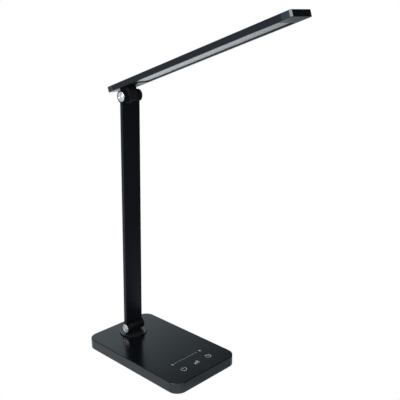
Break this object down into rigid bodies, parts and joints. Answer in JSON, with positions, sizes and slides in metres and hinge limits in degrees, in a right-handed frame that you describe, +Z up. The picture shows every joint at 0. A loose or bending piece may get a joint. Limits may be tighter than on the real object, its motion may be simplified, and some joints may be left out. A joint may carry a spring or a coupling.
{
  "type": "led desk lamp",
  "caption": "Folding LED desk lamp with a flat rounded touch-control base, a swivelling foot, a flat swing arm and a slim light bar that tilts on a hinge.",
  "frame": {"origin": "middle of the resting face of the pad under the base", "axes": "+Z up, -Y to the front where the touch controls are, +X to the right seen from the front, along the hinge axes"},
  "size_m": [0.1154, 0.3199, 0.4744],
  "materials": {
    "base_plastic": "satin black",
    "inner_plastic": "fine moulded grain",
    "pad_rubber": "matt",
    "ballast_steel": "rolled plate",
    "screw_steel": "zinc plated",
    "black_screw_steel": "black oxide",
    "contact_metal": "bright",
    "board_laminate": "solder mask",
    "component_plastic": "moulded",
    "wire_plastic": "insulated wire",
    "washer_plastic": "graphite filled, dark",
    "hinge_metal": "cast, painted black",
    "arm_metal": "extruded, black",
    "cap_metal": "turned, bright",
    "head_plastic": "matt black",
    "diffuser_plastic": "milky",
    "light_board_metal": "white solder mask",
    "led_resin": "phosphor"
  },
  "bodies": {
    "base": {"base_shell": "base_plastic", "base_cover": "inner_plastic", "cover_screws": "screw_steel", "non_slip_pad": "pad_rubber", "ballast_plate": "ballast_steel", "touch_electrodes": "contact_metal", "control_board": "board_laminate", "board_screws": "screw_steel", "board_components": "component_plastic", "dc_jack": "component_plastic", "dc_jack_pin": "contact_metal", "supply_lead": "wire_plastic"},
    "foot": {"swivel_disc": "base_plastic", "pedestal": "hinge_metal", "slip_washer": "washer_plastic", "spring_washer": "screw_steel", "swivel_nut": "screw_steel", "swivel_wires": "wire_plastic"},
    "arm": {"lower_fork": "hinge_metal", "lower_hinge_bolt": "screw_steel", "lower_hinge_nut": "screw_steel", "lower_friction_washers": "washer_plastic", "lower_hinge_caps": "cap_metal", "arm_tube": "arm_metal", "arm_wires": "wire_plastic", "fork_screws": "black_screw_steel", "upper_fork": "hinge_metal", "upper_hinge_bolt": "screw_steel", "upper_hinge_nut": "screw_steel", "upper_friction_washers": "washer_plastic", "upper_hinge_caps": "cap_metal"},
    "light_bar": {"head_bracket": "hinge_metal", "bracket_screws": "black_screw_steel", "head_housing": "head_plastic", "head_tail_cap": "head_plastic", "head_tip_cap": "head_plastic", "head_bezel": "head_plastic", "diffuser": "diffuser_plastic", "led_board": "light_board_metal", "leds": "led_resin", "head_wires": "wire_plastic"}
  },
  "joints": [
    {"name": "base_swivel", "type": "hinge", "parent": "base", "child": "foot", "pos_m": [0, 0.0589, 0.0158], "axis": [0, 0, 1], "range_deg": [-90, 90]},
    {"name": "arm_hinge", "type": "hinge", "parent": "foot", "child": "arm", "pos_m": [0, 0.0589, 0.0264], "axis": [1, 0, 0], "range_deg": [-45, 74]},
    {"name": "head_hinge", "type": "hinge", "parent": "arm", "child": "light_bar", "pos_m": [0, 0.04864, 0.36605], "axis": [1, 0, 0], "range_deg": [-70, 110]}
  ]
}
